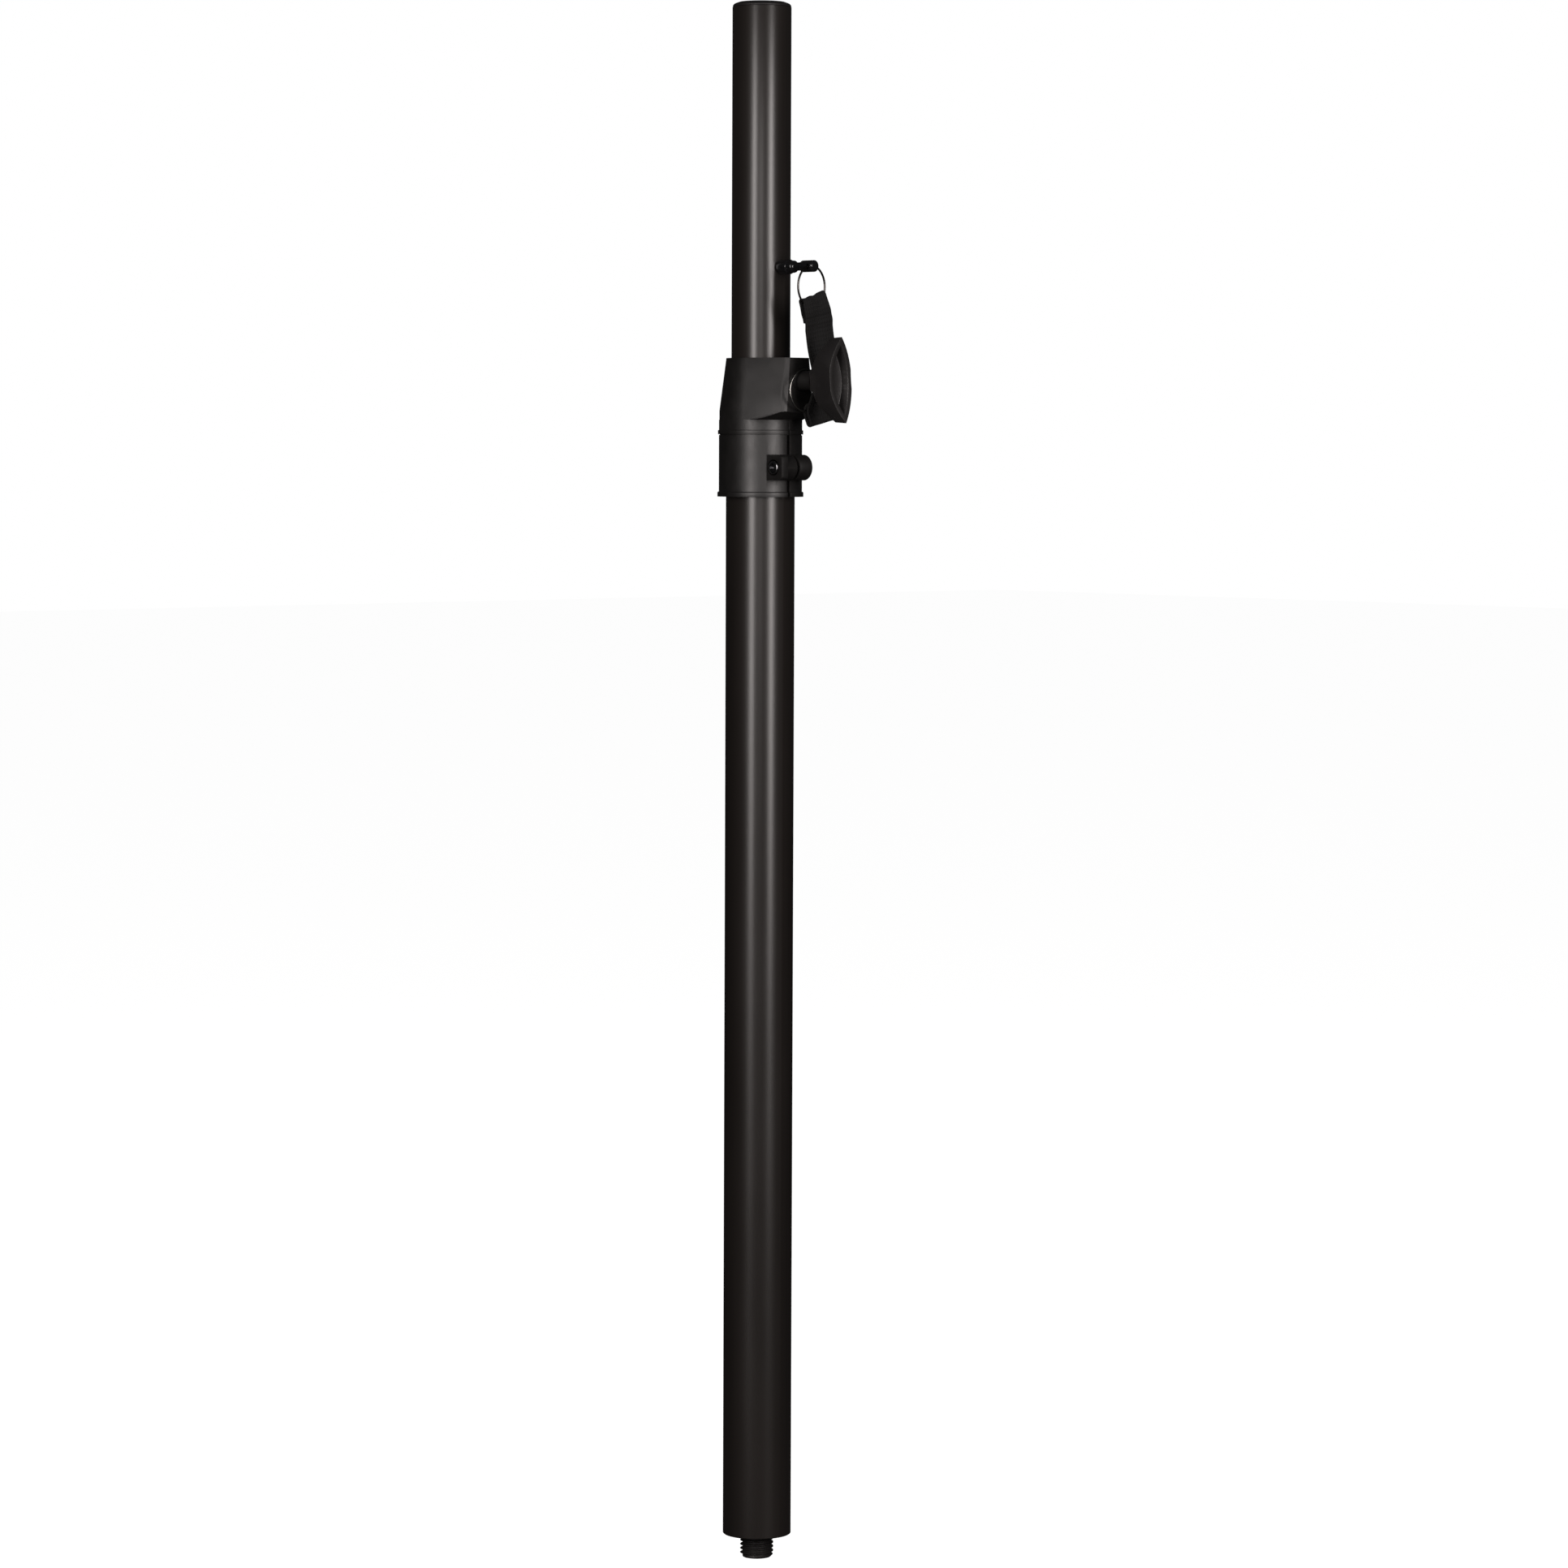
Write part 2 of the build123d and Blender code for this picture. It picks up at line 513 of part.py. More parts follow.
knob_turn = math.radians(KNOB_REST_TURN)
knob_up = (0, -math.sin(knob_turn), math.cos(knob_turn))
knob_side = (0, math.cos(knob_turn), math.sin(knob_turn))
with BuildPart() as knob_body:
    # fan seen from the side
    side_origin = (0, 20 * knob_side[1], KNOB_HEIGHT + 20 * knob_side[2])
    with BuildSketch(Plane(origin=side_origin, x_dir=(1, 0, 0), z_dir=(0, -knob_side[1], -knob_side[2]))):
        with BuildLine():
            Polyline(
                (KNOB_BACK, -KNOB_HUB_R),
                (KNOB_BACK + 1.6, -KNOB_HUB_R - 0.6),
                (KNOB_RIM_BACK, -KNOB_SPAN + 0.5),
                (KNOB_FRONT, -KNOB_SPAN),
            )
            ThreePointArc((KNOB_FRONT, -KNOB_SPAN), (KNOB_FRONT - KNOB_DISH, 0), (KNOB_FRONT, KNOB_SPAN))
            Polyline(
                (KNOB_FRONT, KNOB_SPAN),
                (KNOB_RIM_BACK, KNOB_SPAN - 0.5),
                (KNOB_BACK + 1.6, KNOB_HUB_R + 0.6),
                (KNOB_BACK, KNOB_HUB_R),
                (KNOB_BACK, -KNOB_HUB_R),
            )
        make_face()
    extrude(amount=40)
    # taper seen from above
    low_origin = (0, -40 * knob_up[1], KNOB_HEIGHT - 40 * knob_up[2])
    with BuildSketch(Plane(origin=low_origin, x_dir=(1, 0, 0), z_dir=knob_up)):
        with BuildLine():
            Polyline(
                (KNOB_BACK, -KNOB_HUB_R),
                (KNOB_FRONT, -KNOB_HALF_WIDTH),
                (KNOB_FRONT, KNOB_HALF_WIDTH),
                (KNOB_BACK, KNOB_HUB_R),
                close=True,
            )
        make_face()
    extrude(amount=80, mode=Mode.INTERSECT)
    # pointed oval seen from the front
    with BuildSketch(Plane(origin=(KNOB_BACK, 0, KNOB_HEIGHT), x_dir=knob_side, z_dir=(1, 0, 0))):
        with BuildLine():
            ThreePointArc((0, KNOB_SPAN), (KNOB_HALF_WIDTH, 0), (0, -KNOB_SPAN))
            ThreePointArc((0, -KNOB_SPAN), (-KNOB_HALF_WIDTH, 0), (0, KNOB_SPAN))
        make_face()
    extrude(amount=KNOB_FRONT - KNOB_BACK, mode=Mode.INTERSECT)
    # lens shaped pocket in the front
    inner_half = KNOB_HALF_WIDTH - KNOB_LIP
    inner_radius = lens_radius(KNOB_HALF_WIDTH, KNOB_SPAN) - KNOB_LIP
    inner_span = math.sqrt(inner_radius**2 - (inner_radius - inner_half) ** 2) - 0.6
    with BuildSketch(Plane(origin=(KNOB_FRONT, 0, KNOB_HEIGHT), x_dir=knob_side, z_dir=(1, 0, 0))):
        with BuildLine():
            ThreePointArc((0, inner_span), (inner_half, 0), (0, -inner_span))
            ThreePointArc((0, -inner_span), (-inner_half, 0), (0, inner_span))
        make_face()
    extrude(amount=-KNOB_POCKET, taper=12, mode=Mode.SUBTRACT)
    # way for the screw and its six-sided anchor
    with BuildSketch(Plane(origin=(KNOB_BACK, 0, KNOB_HEIGHT), z_dir=(1, 0, 0))):
        Circle(SCREW_D / 2 + FIT_GAP)
    extrude(amount=SCREW_END + 0.1 - KNOB_BACK, mode=Mode.SUBTRACT)
    with BuildSketch(Plane(origin=(SCREW_END - 7.0, 0, KNOB_HEIGHT), z_dir=(1, 0, 0))):
        RegularPolygon(SCREW_HEX + FIT_GAP, 6, major_radius=False)
    extrude(amount=4.0, mode=Mode.SUBTRACT)
knob_body.part.label = "knob_body"
export_step(knob_body.part, "parts/knob_body.step")

# ================================================================ locking pin, rings and strap

PIN_TIP = -INNER_R - 5.0
PIN_SHOULDER = INNER_R + 0.3
SHOULDER_R = PIN_D / 2 + 1.4
SHOULDER_END = PIN_SHOULDER + 8.0
STEP_R = PIN_D / 2 + 0.6
STEP_END = PIN_SHOULDER + 12.2
NECK_R = PIN_D / 2 - 0.55
NECK_END = PIN_SHOULDER + 17.2
HEAD_R = PIN_D / 2 + 0.45
HEAD_END = PIN_SHOULDER + 29.7
EYE_X = PIN_SHOULDER + 26.4
EYE_R = 1.4
with BuildPart() as locking_pin:
    with BuildSketch(Plane(origin=(0, 0, PIN_HEIGHT), x_dir=(1, 0, 0), z_dir=(0, -1, 0))):
        with BuildLine():
            Polyline(
                (PIN_TIP, 0),
                (PIN_TIP, PIN_D / 2 - 1.0),
                (PIN_TIP + 1.2, PIN_D / 2),
                (PIN_SHOULDER, PIN_D / 2),
                (PIN_SHOULDER, SHOULDER_R - 0.3),
                (PIN_SHOULDER + 0.3, SHOULDER_R),
                (SHOULDER_END - 0.6, SHOULDER_R),
                (SHOULDER_END, STEP_R + 0.2),
                (STEP_END - 0.8, STEP_R),
                (STEP_END + 0.6, NECK_R),
                (NECK_END, NECK_R),
                (NECK_END + 2.2, HEAD_R),
                (HEAD_END - 1.0, HEAD_R),
                (HEAD_END, HEAD_R - 1.0),
                (HEAD_END, 0),
                close=True,
            )
        make_face()
    revolve(axis=Axis((0, 0, PIN_HEIGHT), (1, 0, 0)))
    with BuildSketch(Plane(origin=(EYE_X, 0, PIN_HEIGHT), z_dir=(0, 1, 0))):
        Circle(EYE_R)
    extrude(amount=HEAD_R + 1.0, both=True, mode=Mode.SUBTRACT)
locking_pin.part.label = "locking_pin"
export_step(locking_pin.part, "parts/locking_pin.step")

RING_R = 12.3
RING_WIRE_R = 0.62
RING_TURN = math.radians(8.0)  # the pin's ring hangs a little twisted in its eye
PIN_RING_HEIGHT = PIN_HEIGHT + 0.3 - RING_R
PIN_RING_PLANE = Plane(origin=(EYE_X, 0, PIN_RING_HEIGHT), z_dir=(math.cos(RING_TURN), math.sin(RING_TURN), 0))
with BuildPart() as pin_ring:
    with Locations(PIN_RING_PLANE):
        Torus(RING_R, RING_WIRE_R)
pin_ring.part.label = "pin_ring"
export_step(pin_ring.part, "parts/pin_ring.step")

# the second ring hangs on the boss under the knob
BOSS_RING_X = BLOCK_END + 5.5
BOSS_RING_HEIGHT = KNOB_HEIGHT + BOSS_R + 0.1 + RING_WIRE_R - RING_R
with BuildPart() as boss_ring:
    with Locations(Plane(origin=(BOSS_RING_X, 0, BOSS_RING_HEIGHT), z_dir=(1, 0, 0))):
        Torus(RING_R, RING_WIRE_R)
boss_ring.part.label = "boss_ring"
export_step(boss_ring.part, "parts/boss_ring.step")

# webbing strap from one ring to the other; it is doubled over at both rings
STRAP_WIDTH = 20.0
WEB = 1.6
FOLD = 4.4
TUNNEL_R = RING_WIRE_R + 0.35
# each station is (x, y, z, lean of the width from level in degrees, thickness)
# The stations beside the boss keep their distance from it.
STRAP_STATIONS = [
    (EYE_X, 0.9, PIN_RING_HEIGHT - 4.2, 18.0, FOLD),
    (EYE_X + 0.2, 3.0, PIN_RING_HEIGHT - 13.0, 14.0, FOLD),
    (EYE_X - 0.2, 4.4, PIN_RING_HEIGHT - 16.5, 13.0, 2 * WEB),
    (EYE_X - 0.8, 6.6, PIN_RING_HEIGHT - 22.0, 12.0, 2 * WEB),
    (EYE_X - 1.1, 7.3, PIN_RING_HEIGHT - 24.0, 12.0, WEB),
    (BOSS_RING_X + 2.2, BOSS_R + 7.45, KNOB_HEIGHT + 10.5, 10.0, WEB),
    (BOSS_RING_X + 1.4, BOSS_R + 11.05, KNOB_HEIGHT - 0.6, 3.0, WEB),
    (BOSS_RING_X, BOSS_R + 6.85, BOSS_RING_HEIGHT - 3.7, 8.0, 2 * WEB),
    (BOSS_RING_X, 9.6, BOSS_RING_HEIGHT - 9.6, 12.0, FOLD),
    (BOSS_RING_X, 12.4, BOSS_RING_HEIGHT - 17.5, 13.0, FOLD),
]
with BuildPart() as strap:
    for sx, sy, sz, lean, thick in STRAP_STATIONS:
        across = (0, math.cos(math.radians(lean)), math.sin(math.radians(lean)))
        down = (0, math.sin(math.radians(lean)), -math.cos(math.radians(lean)))
        with BuildSketch(Plane(origin=(sx, sy, sz), x_dir=across, z_dir=down)):
            Rectangle(STRAP_WIDTH, thick)
    loft(ruled=True)
    # each ring's wire runs through the fold with a little room
    with Locations(PIN_RING_PLANE):
        Torus(RING_R, TUNNEL_R, mode=Mode.SUBTRACT)
    with Locations(Plane(origin=(BOSS_RING_X, 0, BOSS_RING_HEIGHT), z_dir=(1, 0, 0))):
        Torus(RING_R, TUNNEL_R, mode=Mode.SUBTRACT)
strap.part.label = "strap"
export_step(strap.part, "parts/strap.step")
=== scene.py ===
"""Looks of the telescoping speaker pole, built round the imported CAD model. Metres throughout."""

import math

import bpy
from mathutils import Matrix, Vector


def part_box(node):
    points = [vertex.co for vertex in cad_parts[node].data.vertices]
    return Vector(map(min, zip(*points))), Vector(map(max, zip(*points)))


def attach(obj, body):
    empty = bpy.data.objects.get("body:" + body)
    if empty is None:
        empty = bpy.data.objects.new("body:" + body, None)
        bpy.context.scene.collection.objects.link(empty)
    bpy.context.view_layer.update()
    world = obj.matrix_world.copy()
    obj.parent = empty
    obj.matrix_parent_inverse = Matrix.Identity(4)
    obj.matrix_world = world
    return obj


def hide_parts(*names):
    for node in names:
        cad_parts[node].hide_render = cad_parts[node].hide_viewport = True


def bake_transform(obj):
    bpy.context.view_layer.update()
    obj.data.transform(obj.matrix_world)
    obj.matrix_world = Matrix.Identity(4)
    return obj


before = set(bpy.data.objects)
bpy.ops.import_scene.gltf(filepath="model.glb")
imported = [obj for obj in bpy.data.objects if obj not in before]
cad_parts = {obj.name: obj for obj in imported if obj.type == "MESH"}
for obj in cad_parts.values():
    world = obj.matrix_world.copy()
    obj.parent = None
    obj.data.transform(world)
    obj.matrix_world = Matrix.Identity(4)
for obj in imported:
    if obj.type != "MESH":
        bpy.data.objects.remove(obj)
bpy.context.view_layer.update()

MM = 0.001

# ---------------------------------------------------------------- places taken from the frame
stud_low, stud_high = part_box("threaded_stud")
plug_low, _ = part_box("foot_plug")
ring_low, ring_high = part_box("pin_ring")
boss_ring_low, boss_ring_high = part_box("boss_ring")
knob_low, knob_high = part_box("knob_body")
pin_low, pin_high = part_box("locking_pin")

STUD_R = (stud_high[0] - stud_low[0]) / 2
STUD_TOP = plug_low[2]
PIN_RING = Vector([(a + b) / 2 for a, b in zip(ring_low, ring_high)])
BOSS_RING = Vector([(a + b) / 2 for a, b in zip(boss_ring_low, boss_ring_high)])
KNOB_HEIGHT = (knob_low[2] + knob_high[2]) / 2
PIN_HEIGHT = (pin_low[2] + pin_high[2]) / 2

# ---------------------------------------------------------------- sizes of the new pieces
THREAD_PITCH = 2.5 * MM
THREAD_DEPTH = 1.45 * MM
THREAD_STEPS = 72
TIP_CHAMFER = 1.7 * MM

STRAP_WIDTH = 20 * MM
WEB = 1.5 * MM
FOLD_R = 1.5 * MM  # centre line of the webbing round a ring's wire
WIRE_ROOM = 8 * MM  # how far down from a fold the two layers stand apart for the wire
UPPER_TAIL = 14 * MM
LOWER_TAIL = 12 * MM
FOLD_NARROW = 0.1  # share of its width that the strap loses where it bunches in the upper ring
FOLD_SAG = 0.7 * MM  # how far the middle of the upper fold dips
WEB_STEP = 0.8 * MM
WEB_ACROSS = 20

FOLD_BUNCH = 9 * MM  # how far down from the upper fold the bunching dies away
LAYER_FADE = 4 * MM  # length over which the layers close up below the wire
TAIL_FADE = 5 * MM  # length over which the gap closes past a tail's end
TOUCHING = WEB / 2 + 0.05 * MM  # from the route to the middle of a layer where two layers touch
RIPPLE = 0.25 * MM
BOW = 0.35 * MM

EDGE_ROUND = 0.45 * MM

MARK_HEIGHT = PIN_HEIGHT + 5.6 * MM  # middle of the tube's marking line
MARK_REACH = 3 * MM
MARK_DEPTH = 0.6 * MM


# ---------------------------------------------------------------- small helpers
def deselect():
    bpy.ops.object.select_all(action="DESELECT")


def choose(piece):
    deselect()
    piece.select_set(True)
    bpy.context.view_layer.objects.active = piece


def apply_modifiers(piece):
    choose(piece)
    for modifier in list(piece.modifiers):
        bpy.ops.object.modifier_apply(modifier=modifier.name)


def set_material(piece, material):
    piece.data.materials.clear()
    piece.data.materials.append(material)


def dress(node, material):
    """Gives a CAD node its finish."""
    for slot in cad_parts[node].material_slots:
        slot.material = material


# ---------------------------------------------------------------- materials
def surface(name, colour, roughness, metallic=0.0, grain=1500.0, depth=0.02, stretch=(1, 1, 1), spread=0.05,
            cloud=45.0, tint=0.25):
    """A shader with fine surface grain, and slow changes of tone and gloss."""
    material = bpy.data.materials.new(name)
    material.use_nodes = True
    nodes = material.node_tree.nodes
    links = material.node_tree.links
    shader = nodes["Principled BSDF"]
    shader.inputs["Metallic"].default_value = metallic
    place = nodes.new("ShaderNodeTexCoord")
    mapping = nodes.new("ShaderNodeMapping")
    mapping.inputs["Scale"].default_value = stretch
    links.new(place.outputs["Object"], mapping.inputs["Vector"])
    slow = nodes.new("ShaderNodeTexNoise")
    slow.inputs["Scale"].default_value = cloud
    slow.inputs["Detail"].default_value = 4
    links.new(mapping.outputs["Vector"], slow.inputs["Vector"])
    fine = nodes.new("ShaderNodeTexNoise")
    fine.inputs["Scale"].default_value = grain
    fine.inputs["Detail"].default_value = 3
    links.new(place.outputs["Object"], fine.inputs["Vector"])
    tone = nodes.new("ShaderNodeMix")
    tone.data_type = "RGBA"
    tone.inputs[6].default_value = [c * (1 - tint) for c in colour] + [1]
    tone.inputs[7].default_value = [c * (1 + tint) for c in colour] + [1]
    links.new(slow.outputs["Fac"], tone.inputs["Factor"])
    links.new(tone.outputs[2], shader.inputs["Base Color"])
    gloss = nodes.new("ShaderNodeMapRange")
    gloss.inputs["To Min"].default_value = roughness - spread
    gloss.inputs["To Max"].default_value = roughness + spread
    links.new(slow.outputs["Fac"], gloss.inputs["Value"])
    links.new(gloss.outputs["Result"], shader.inputs["Roughness"])
    bump = nodes.new("ShaderNodeBump")
    bump.inputs["Strength"].default_value = 1.0
    bump.inputs["Distance"].default_value = depth * MM
    links.new(fine.outputs["Fac"], bump.inputs["Height"])
    links.new(bump.outputs["Normal"], shader.inputs["Normal"])
    return material


def webbing(name, colour):
    """Woven strap: ribs across it crossed by yarns along it, read from the strap's own map in metres."""
    material = surface(name, colour, 0.85, grain=4000.0, depth=0.02, cloud=120.0, tint=0.35)
    nodes = material.node_tree.nodes
    links = material.node_tree.links
    shader = nodes["Principled BSDF"]
    shader.inputs["Specular IOR Level"].default_value = 0.25
    shader.inputs["Sheen Weight"].default_value = 0.04
    shader.inputs["Sheen Roughness"].default_value = 0.4
    weave_map = nodes.new("ShaderNodeUVMap")
    weave_map.uv_map = "weave"
    height = None
    for direction, pitch in (("X", 0.9 * MM), ("Y", 1.3 * MM)):
        wave = nodes.new("ShaderNodeTexWave")
        wave.bands_direction = direction
        wave.inputs["Scale"].default_value = math.pi / (20 * pitch)
        links.new(weave_map.outputs["UV"], wave.inputs["Vector"])
        if height is None:
            height = wave
        else:
            weave = nodes.new("ShaderNodeMath")
            weave.operation = "MULTIPLY"
            links.new(height.outputs["Fac"], weave.inputs[0])
            links.new(wave.outputs["Fac"], weave.inputs[1])
            height = weave
    ribs = nodes.new("ShaderNodeBump")
    ribs.inputs["Strength"].default_value = 1.0
    ribs.inputs["Distance"].default_value = 0.25 * MM
    links.new(height.outputs[0], ribs.inputs["Height"])
    links.new(nodes["Bump"].outputs["Normal"], ribs.inputs["Normal"])
    links.new(ribs.outputs["Normal"], shader.inputs["Normal"])
    return material


def make_materials():
    made = {}
    made["powder_coat"] = surface("powder_coat", (0.0125, 0.0105, 0.0095), 0.30, grain=1400.0, depth=0.006,
                                  stretch=(1, 1, 0.15), spread=0.03, cloud=60.0)
    made["moulding"] = surface("moulding", (0.0068, 0.0063, 0.0061), 0.42, grain=2200.0, depth=0.04,
                               spread=0.08, cloud=150.0, tint=0.4)
    made["knob_moulding"] = surface("knob_moulding", (0.014, 0.013, 0.013), 0.40, grain=2600.0, depth=0.018)
    made["cap_moulding"] = surface("cap_moulding", (0.014, 0.013, 0.013), 0.42, grain=2400.0, depth=0.015)
    made["gloss_black"] = surface("gloss_black", (0.006, 0.006, 0.0065), 0.13, grain=900.0, depth=0.003,
                                  spread=0.04)
    plating = made["gloss_black"].node_tree.nodes["Principled BSDF"]
    plating.inputs["Coat Weight"].default_value = 0.6
    plating.inputs["Coat Roughness"].default_value = 0.08
    made["nickel"] = surface("nickel", (0.20, 0.195, 0.185), 0.24, metallic=1.0, grain=1200.0, depth=0.004)
    # Painted shade: a darkened copy of the nickel, its colour lowered so the upper ring looks dark as if it
    # reflected dark surroundings.
    made["shade_darkened_nickel"] = surface("shade_darkened_nickel", (0.07, 0.066, 0.062), 0.26, metallic=1.0, grain=1200.0,
                                  depth=0.004)
    made["zinc"] = surface("zinc", (0.22, 0.22, 0.23), 0.20, metallic=1.0, grain=1600.0, depth=0.005)
    made["black_oxide"] = surface("black_oxide", (0.012, 0.011, 0.011), 0.38, grain=1800.0, depth=0.012)
    made["brass"] = surface("brass", (0.62, 0.43, 0.17), 0.28, metallic=1.0, grain=1500.0, depth=0.006)
    made["nylon"] = surface("nylon", (0.55, 0.55, 0.51), 0.5, grain=1800.0, depth=0.01, tint=0.08)
    made["rubber"] = surface("rubber", (0.017, 0.017, 0.017), 0.8, grain=2200.0, depth=0.03)
    made["webbing"] = webbing("webbing", (0.0045, 0.0043, 0.0043))
    return made


# ---------------------------------------------------------------- pieces
def rounded_copy(node, name, body, material, width=EDGE_ROUND, segments=3):
    """A CAD node's shape with its sharp edges rounded over, standing in for the node."""
    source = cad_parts[node]
    piece = source.copy()
    piece.data = source.data.copy()
    piece.name = name
    piece.data.name = name
    piece.parent = None
    piece.matrix_world = Matrix.Identity(4)
    bpy.context.collection.objects.link(piece)
    choose(piece)
    if piece.data.has_custom_normals:
        bpy.ops.mesh.customdata_custom_splitnormals_clear()
    bpy.ops.object.mode_set(mode="EDIT")
    bpy.ops.mesh.select_all(action="SELECT")
    bpy.ops.mesh.remove_doubles(threshold=0.002 * MM)
    bpy.ops.mesh.dissolve_limited(angle_limit=math.radians(0.6))
    bpy.ops.object.mode_set(mode="OBJECT")
    bevel = piece.modifiers.new("edges", "BEVEL")
    bevel.limit_method = "ANGLE"
    bevel.angle_limit = math.radians(24)
    bevel.width = width
    bevel.segments = segments
    bevel.use_clamp_overlap = True
    apply_modifiers(piece)
    bpy.ops.object.shade_smooth_by_angle(angle=math.radians(28))
    set_material(piece, material)
    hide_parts(node)
    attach(piece, body)
    return piece


def make_thread(material):
    """The foot stud with its helical thread, run out into a chamfered tip."""
    root = STUD_R - THREAD_DEPTH
    crest_flat = THREAD_PITCH / 8
    flank = (THREAD_PITCH - crest_flat - THREAD_PITCH / 4) / 2
    profile = [
        (root, 0),
        (STUD_R, flank),
        (STUD_R, flank + crest_flat),
        (root, 2 * flank + crest_flat),
        (root, THREAD_PITCH),
    ]
    mesh = bpy.data.meshes.new("foot_thread")
    bottom = stud_low[2] - 2 * THREAD_PITCH
    mesh.from_pydata([(r, 0, bottom + z) for r, z in profile], [(i, i + 1) for i in range(4)], [])
    stud = bpy.data.objects.new("foot_thread", mesh)
    bpy.context.collection.objects.link(stud)
    screw = stud.modifiers.new("thread", "SCREW")
    screw.screw_offset = THREAD_PITCH
    screw.iterations = int((STUD_TOP - bottom) / THREAD_PITCH) + 3
    screw.steps = THREAD_STEPS
    screw.render_steps = THREAD_STEPS
    screw.use_merge_vertices = True
    screw.merge_threshold = 0.001 * MM
    apply_modifiers(stud)
    bpy.ops.object.mode_set(mode="EDIT")
    bpy.ops.mesh.select_all(action="SELECT")
    bpy.ops.mesh.remove_doubles(threshold=0.001 * MM)
    top_cut = STUD_TOP + 1.0 * MM
    bpy.ops.mesh.bisect(plane_co=(0, 0, top_cut), plane_no=(0, 0, 1), clear_outer=True, use_fill=True)
    bpy.ops.mesh.select_all(action="SELECT")
    bpy.ops.mesh.bisect(plane_co=(0, 0, stud_low[2]), plane_no=(0, 0, -1), clear_outer=True, use_fill=True)
    bpy.ops.mesh.select_all(action="SELECT")
    bpy.ops.mesh.normals_make_consistent(inside=False)
    bpy.ops.object.mode_set(mode="OBJECT")
    tip_r = STUD_R - TIP_CHAMFER
    for vertex in stud.data.vertices:
        radius = math.hypot(vertex.co.x, vertex.co.y)
        allowed = tip_r + (vertex.co.z - stud_low[2])
        if radius > allowed:
            vertex.co.x *= allowed / radius
            vertex.co.y *= allowed / radius
    choose(stud)
    bpy.ops.object.shade_smooth_by_angle(angle=math.radians(25))
    set_material(stud, material)
    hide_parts("threaded_stud")
    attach(stud, "pole")
    return stud


def between(points, t):
    """A smooth curve through the points (Catmull-Rom), with t running from 0 to 1."""
    spans = len(points) - 1
    i = min(int(t * spans), spans - 1)
    f = t * spans - i
    a = points[max(i - 1, 0)]
    b = points[i]
    c = points[i + 1]
    d = points[min(i + 2, spans)]
    square = (2 * a - 5 * b + 4 * c - d) * f * f
    cube = (3 * b - a - 3 * c + d) * f * f * f
    return 0.5 * ((2 * b) + (c - a) * f + square + cube)


def strap_route():
    """Middle line of the strap from the upper fold to the lower one, with the lean and twist of its width."""
    x_top = PIN_RING.x
    x_low = BOSS_RING.x
    line = [
        Vector((x_top, 0.9 * MM, PIN_RING.z - 6.7 * MM)),
        Vector((x_top + 0.2 * MM, 3.0 * MM, PIN_RING.z - 13 * MM)),
        Vector((x_top - 0.6 * MM, 6.0 * MM, PIN_RING.z - 20.5 * MM)),
        Vector((x_low + 3.2 * MM, 9.2 * MM, KNOB_HEIGHT + 22 * MM)),
        Vector((x_low + 2.2 * MM, 13.2 * MM, KNOB_HEIGHT + 10.5 * MM)),
        Vector((x_low + 1.4 * MM, 16.6 * MM, KNOB_HEIGHT - 0.5 * MM)),
        Vector((x_low + 0.5 * MM, 13.4 * MM, KNOB_HEIGHT - 8.5 * MM)),
        Vector((x_low, 9.6 * MM, KNOB_HEIGHT - 15.5 * MM)),
        Vector((x_low, 12.4 * MM, KNOB_HEIGHT - 23.2 * MM)),
    ]
    lean = [18, 14, 12, 12, 10, 3, 8, 12, 13]
    twist = [2, 4, 6, 6, 5, 2, 0, 0, 0]
    return line, [Vector((math.radians(a), math.radians(b), 0)) for a, b in zip(lean, twist)]


